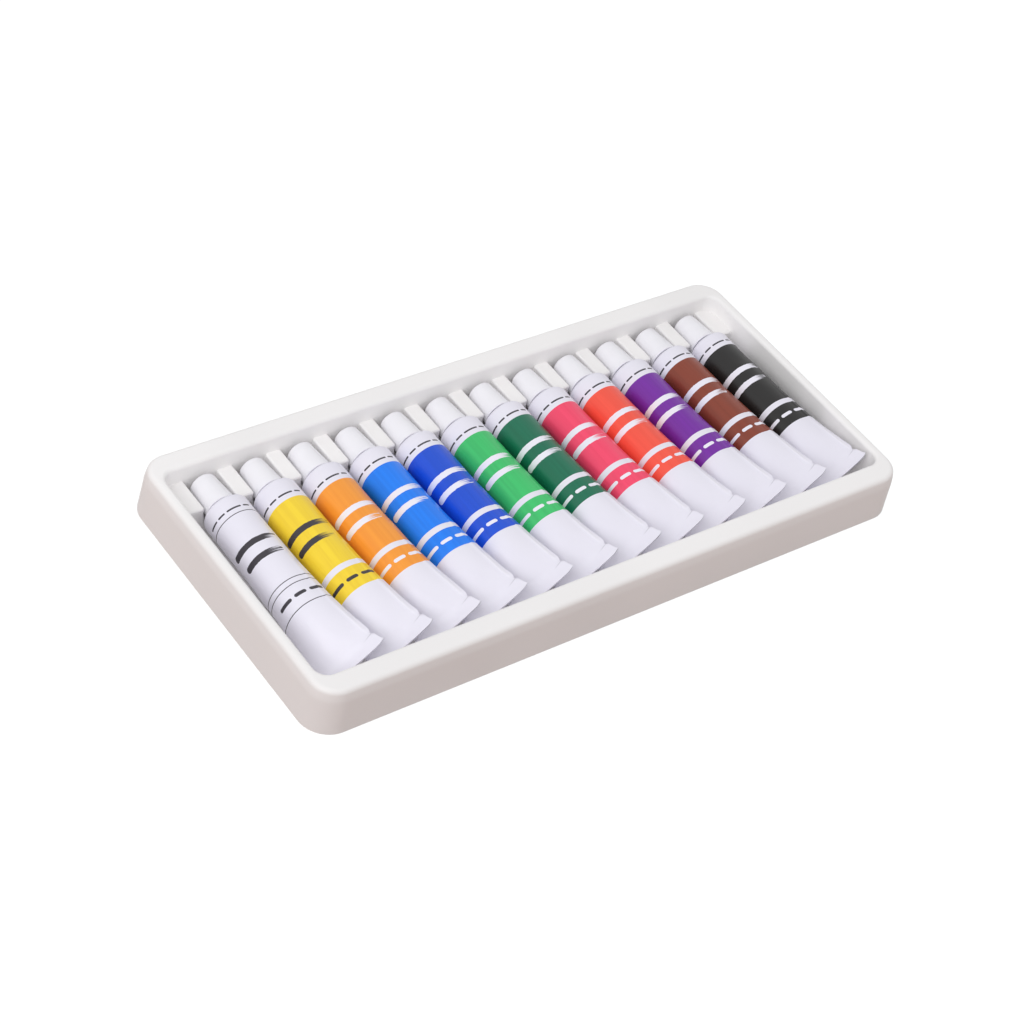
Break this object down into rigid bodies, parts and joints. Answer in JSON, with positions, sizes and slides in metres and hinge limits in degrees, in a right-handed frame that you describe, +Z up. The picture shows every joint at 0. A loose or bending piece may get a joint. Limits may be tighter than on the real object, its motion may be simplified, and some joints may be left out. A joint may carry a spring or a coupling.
{
  "type": "paint tube set",
  "caption": "Shallow thermoformed tray holding a side-by-side row of screw-capped, crimped paint tubes in graded colours.",
  "frame": {"origin": "middle of the tray's footprint, on the surface it stands on", "axes": "+X along the row from the white tube to the black one, +Y from the crimped ends to the caps, +Z up"},
  "size_m": [0.24, 0.1124, 0.0175],
  "materials": {
    "tray_plastic": "soft satin",
    "cap_plastic": "smooth moulded gloss",
    "liner_foam": "fine foam",
    "tube_lacquer": "white lacquer, glossy",
    "paint_white": "thick wet paint",
    "paint_yellow": "thick wet paint",
    "paint_orange": "thick wet paint",
    "paint_sky_blue": "thick wet paint",
    "paint_royal_blue": "thick wet paint",
    "paint_green": "thick wet paint",
    "paint_dark_green": "thick wet paint",
    "paint_pink": "thick wet paint",
    "paint_red": "thick wet paint",
    "paint_violet": "thick wet paint",
    "paint_brown": "thick wet paint",
    "paint_black": "thick wet paint"
  },
  "bodies": {
    "tray": {"tray": "tray_plastic"},
    "filled_tube_01_white": {"tube_01_white": "tube_lacquer", "paint_01_white": "paint_white"},
    "liner_01_white": {"cap_liner_01_white": "liner_foam"},
    "screw_cap_01_white": {"cap_01_white": "cap_plastic"},
    "filled_tube_02_yellow": {"tube_02_yellow": "tube_lacquer", "paint_02_yellow": "paint_yellow"},
    "liner_02_yellow": {"cap_liner_02_yellow": "liner_foam"},
    "screw_cap_02_yellow": {"cap_02_yellow": "cap_plastic"},
    "filled_tube_03_orange": {"tube_03_orange": "tube_lacquer", "paint_03_orange": "paint_orange"},
    "liner_03_orange": {"cap_liner_03_orange": "liner_foam"},
    "screw_cap_03_orange": {"cap_03_orange": "cap_plastic"},
    "filled_tube_04_sky_blue": {"tube_04_sky_blue": "tube_lacquer", "paint_04_sky_blue": "paint_sky_blue"},
    "liner_04_sky_blue": {"cap_liner_04_sky_blue": "liner_foam"},
    "screw_cap_04_sky_blue": {"cap_04_sky_blue": "cap_plastic"},
    "filled_tube_05_royal_blue": {"tube_05_royal_blue": "tube_lacquer", "paint_05_royal_blue": "paint_royal_blue"},
    "liner_05_royal_blue": {"cap_liner_05_royal_blue": "liner_foam"},
    "screw_cap_05_royal_blue": {"cap_05_royal_blue": "cap_plastic"},
    "filled_tube_06_green": {"tube_06_green": "tube_lacquer", "paint_06_green": "paint_green"},
    "liner_06_green": {"cap_liner_06_green": "liner_foam"},
    "screw_cap_06_green": {"cap_06_green": "cap_plastic"},
    "filled_tube_07_dark_green": {"tube_07_dark_green": "tube_lacquer", "paint_07_dark_green": "paint_dark_green"},
    "liner_07_dark_green": {"cap_liner_07_dark_green": "liner_foam"},
    "screw_cap_07_dark_green": {"cap_07_dark_green": "cap_plastic"},
    "filled_tube_08_pink": {"tube_08_pink": "tube_lacquer", "paint_08_pink": "paint_pink"},
    "liner_08_pink": {"cap_liner_08_pink": "liner_foam"},
    "screw_cap_08_pink": {"cap_08_pink": "cap_plastic"},
    "filled_tube_09_red": {"tube_09_red": "tube_lacquer", "paint_09_red": "paint_red"},
    "liner_09_red": {"cap_liner_09_red": "liner_foam"},
    "screw_cap_09_red": {"cap_09_red": "cap_plastic"},
    "filled_tube_10_violet": {"tube_10_violet": "tube_lacquer", "paint_10_violet": "paint_violet"},
    "liner_10_violet": {"cap_liner_10_violet": "liner_foam"},
    "screw_cap_10_violet": {"cap_10_violet": "cap_plastic"},
    "filled_tube_11_brown": {"tube_11_brown": "tube_lacquer", "paint_11_brown": "paint_brown"},
    "liner_11_brown": {"cap_liner_11_brown": "liner_foam"},
    "screw_cap_11_brown": {"cap_11_brown": "cap_plastic"},
    "filled_tube_12_black": {"tube_12_black": "tube_lacquer", "paint_12_black": "paint_black"},
    "liner_12_black": {"cap_liner_12_black": "liner_foam"},
    "screw_cap_12_black": {"cap_12_black": "cap_plastic"}
  },
  "joints": [
    {"name": "lift_out_01_white", "type": "slide", "parent": "tray", "child": "filled_tube_01_white", "axis": [0.2756, 0, 0.9613], "range_m": [0, 0.05]},
    {"name": "cap_travel_01_white", "type": "slide", "parent": "filled_tube_01_white", "child": "liner_01_white", "axis": [0, 1, 0], "range_m": [0, 0.0015]},
    {"name": "cap_turn_01_white", "type": "hinge", "parent": "liner_01_white", "child": "screw_cap_01_white", "pos_m": [-0.09965, 0.0325, 0.0089], "axis": [0, 1, 0], "range_deg": [0, 364]},
    {"name": "lift_out_02_yellow", "type": "slide", "parent": "tray", "child": "filled_tube_02_yellow", "axis": [0.2756, 0, 0.9613], "range_m": [0, 0.05]},
    {"name": "cap_travel_02_yellow", "type": "slide", "parent": "filled_tube_02_yellow", "child": "liner_02_yellow", "axis": [0, 1, 0], "range_m": [0, 0.0015]},
    {"name": "cap_turn_02_yellow", "type": "hinge", "parent": "liner_02_yellow", "child": "screw_cap_02_yellow", "pos_m": [-0.08135, 0.0325, 0.0089], "axis": [0, 1, 0], "range_deg": [0, 364]},
    {"name": "lift_out_03_orange", "type": "slide", "parent": "tray", "child": "filled_tube_03_orange", "axis": [0.2756, 0, 0.9613], "range_m": [0, 0.05]},
    {"name": "cap_travel_03_orange", "type": "slide", "parent": "filled_tube_03_orange", "child": "liner_03_orange", "axis": [0, 1, 0], "range_m": [0, 0.0015]},
    {"name": "cap_turn_03_orange", "type": "hinge", "parent": "liner_03_orange", "child": "screw_cap_03_orange", "pos_m": [-0.06305, 0.0325, 0.0089], "axis": [0, 1, 0], "range_deg": [0, 364]},
    {"name": "lift_out_04_sky_blue", "type": "slide", "parent": "tray", "child": "filled_tube_04_sky_blue", "axis": [0.2756, 0, 0.9613], "range_m": [0, 0.05]},
    {"name": "cap_travel_04_sky_blue", "type": "slide", "parent": "filled_tube_04_sky_blue", "child": "liner_04_sky_blue", "axis": [0, 1, 0], "range_m": [0, 0.0015]},
    {"name": "cap_turn_04_sky_blue", "type": "hinge", "parent": "liner_04_sky_blue", "child": "screw_cap_04_sky_blue", "pos_m": [-0.04475, 0.0325, 0.0089], "axis": [0, 1, 0], "range_deg": [0, 364]},
    {"name": "lift_out_05_royal_blue", "type": "slide", "parent": "tray", "child": "filled_tube_05_royal_blue", "axis": [0.2756, 0, 0.9613], "range_m": [0, 0.05]},
    {"name": "cap_travel_05_royal_blue", "type": "slide", "parent": "filled_tube_05_royal_blue", "child": "liner_05_royal_blue", "axis": [0, 1, 0], "range_m": [0, 0.0015]},
    {"name": "cap_turn_05_royal_blue", "type": "hinge", "parent": "liner_05_royal_blue", "child": "screw_cap_05_royal_blue", "pos_m": [-0.02645, 0.0325, 0.0089], "axis": [0, 1, 0], "range_deg": [0, 364]},
    {"name": "lift_out_06_green", "type": "slide", "parent": "tray", "child": "filled_tube_06_green", "axis": [0.2756, 0, 0.9613], "range_m": [0, 0.05]},
    {"name": "cap_travel_06_green", "type": "slide", "parent": "filled_tube_06_green", "child": "liner_06_green", "axis": [0, 1, 0], "range_m": [0, 0.0015]},
    {"name": "cap_turn_06_green", "type": "hinge", "parent": "liner_06_green", "child": "screw_cap_06_green", "pos_m": [-0.00815, 0.0325, 0.0089], "axis": [0, 1, 0], "range_deg": [0, 364]},
    {"name": "lift_out_07_dark_green", "type": "slide", "parent": "tray", "child": "filled_tube_07_dark_green", "axis": [0.2756, 0, 0.9613], "range_m": [0, 0.05]},
    {"name": "cap_travel_07_dark_green", "type": "slide", "parent": "filled_tube_07_dark_green", "child": "liner_07_dark_green", "axis": [0, 1, 0], "range_m": [0, 0.0015]},
    {"name": "cap_turn_07_dark_green", "type": "hinge", "parent": "liner_07_dark_green", "child": "screw_cap_07_dark_green", "pos_m": [0.01015, 0.0325, 0.0089], "axis": [0, 1, 0], "range_deg": [0, 364]},
    {"name": "lift_out_08_pink", "type": "slide", "parent": "tray", "child": "filled_tube_08_pink", "axis": [0.2756, 0, 0.9613], "range_m": [0, 0.05]},
    {"name": "cap_travel_08_pink", "type": "slide", "parent": "filled_tube_08_pink", "child": "liner_08_pink", "axis": [0, 1, 0], "range_m": [0, 0.0015]},
    {"name": "cap_turn_08_pink", "type": "hinge", "parent": "liner_08_pink", "child": "screw_cap_08_pink", "pos_m": [0.02845, 0.0325, 0.0089], "axis": [0, 1, 0], "range_deg": [0, 364]},
    {"name": "lift_out_09_red", "type": "slide", "parent": "tray", "child": "filled_tube_09_red", "axis": [0.2756, 0, 0.9613], "range_m": [0, 0.05]},
    {"name": "cap_travel_09_red", "type": "slide", "parent": "filled_tube_09_red", "child": "liner_09_red", "axis": [0, 1, 0], "range_m": [0, 0.0015]},
    {"name": "cap_turn_09_red", "type": "hinge", "parent": "liner_09_red", "child": "screw_cap_09_red", "pos_m": [0.04675, 0.0325, 0.0089], "axis": [0, 1, 0], "range_deg": [0, 364]},
    {"name": "lift_out_10_violet", "type": "slide", "parent": "tray", "child": "filled_tube_10_violet", "axis": [0.2756, 0, 0.9613], "range_m": [0, 0.05]},
    {"name": "cap_travel_10_violet", "type": "slide", "parent": "filled_tube_10_violet", "child": "liner_10_violet", "axis": [0, 1, 0], "range_m": [0, 0.0015]},
    {"name": "cap_turn_10_violet", "type": "hinge", "parent": "liner_10_violet", "child": "screw_cap_10_violet", "pos_m": [0.06505, 0.0325, 0.0089], "axis": [0, 1, 0], "range_deg": [0, 364]},
    {"name": "lift_out_11_brown", "type": "slide", "parent": "tray", "child": "filled_tube_11_brown", "axis": [0.2756, 0, 0.9613], "range_m": [0, 0.05]},
    {"name": "cap_travel_11_brown", "type": "slide", "parent": "filled_tube_11_brown", "child": "liner_11_brown", "axis": [0, 1, 0], "range_m": [0, 0.0015]},
    {"name": "cap_turn_11_brown", "type": "hinge", "parent": "liner_11_brown", "child": "screw_cap_11_brown", "pos_m": [0.08335, 0.0325, 0.0089], "axis": [0, 1, 0], "range_deg": [0, 364]},
    {"name": "lift_out_12_black", "type": "slide", "parent": "tray", "child": "filled_tube_12_black", "axis": [0.2756, 0, 0.9613], "range_m": [0, 0.05]},
    {"name": "cap_travel_12_black", "type": "slide", "parent": "filled_tube_12_black", "child": "liner_12_black", "axis": [0, 1, 0], "range_m": [0, 0.0015]},
    {"name": "cap_turn_12_black", "type": "hinge", "parent": "liner_12_black", "child": "screw_cap_12_black", "pos_m": [0.10165, 0.0325, 0.0089], "axis": [0, 1, 0], "range_deg": [0, 364]}
  ],
  "couplings": [
    {"joint": "cap_turn_01_white", "follows": "cap_travel_01_white", "rad_per_m": 4188.8},
    {"joint": "cap_turn_02_yellow", "follows": "cap_travel_02_yellow", "rad_per_m": 4188.8},
    {"joint": "cap_turn_03_orange", "follows": "cap_travel_03_orange", "rad_per_m": 4188.8},
    {"joint": "cap_turn_04_sky_blue", "follows": "cap_travel_04_sky_blue", "rad_per_m": 4188.8},
    {"joint": "cap_turn_05_royal_blue", "follows": "cap_travel_05_royal_blue", "rad_per_m": 4188.8},
    {"joint": "cap_turn_06_green", "follows": "cap_travel_06_green", "rad_per_m": 4188.8},
    {"joint": "cap_turn_07_dark_green", "follows": "cap_travel_07_dark_green", "rad_per_m": 4188.8},
    {"joint": "cap_turn_08_pink", "follows": "cap_travel_08_pink", "rad_per_m": 4188.8},
    {"joint": "cap_turn_09_red", "follows": "cap_travel_09_red", "rad_per_m": 4188.8},
    {"joint": "cap_turn_10_violet", "follows": "cap_travel_10_violet", "rad_per_m": 4188.8},
    {"joint": "cap_turn_11_brown", "follows": "cap_travel_11_brown", "rad_per_m": 4188.8},
    {"joint": "cap_turn_12_black", "follows": "cap_travel_12_black", "rad_per_m": 4188.8}
  ]
}
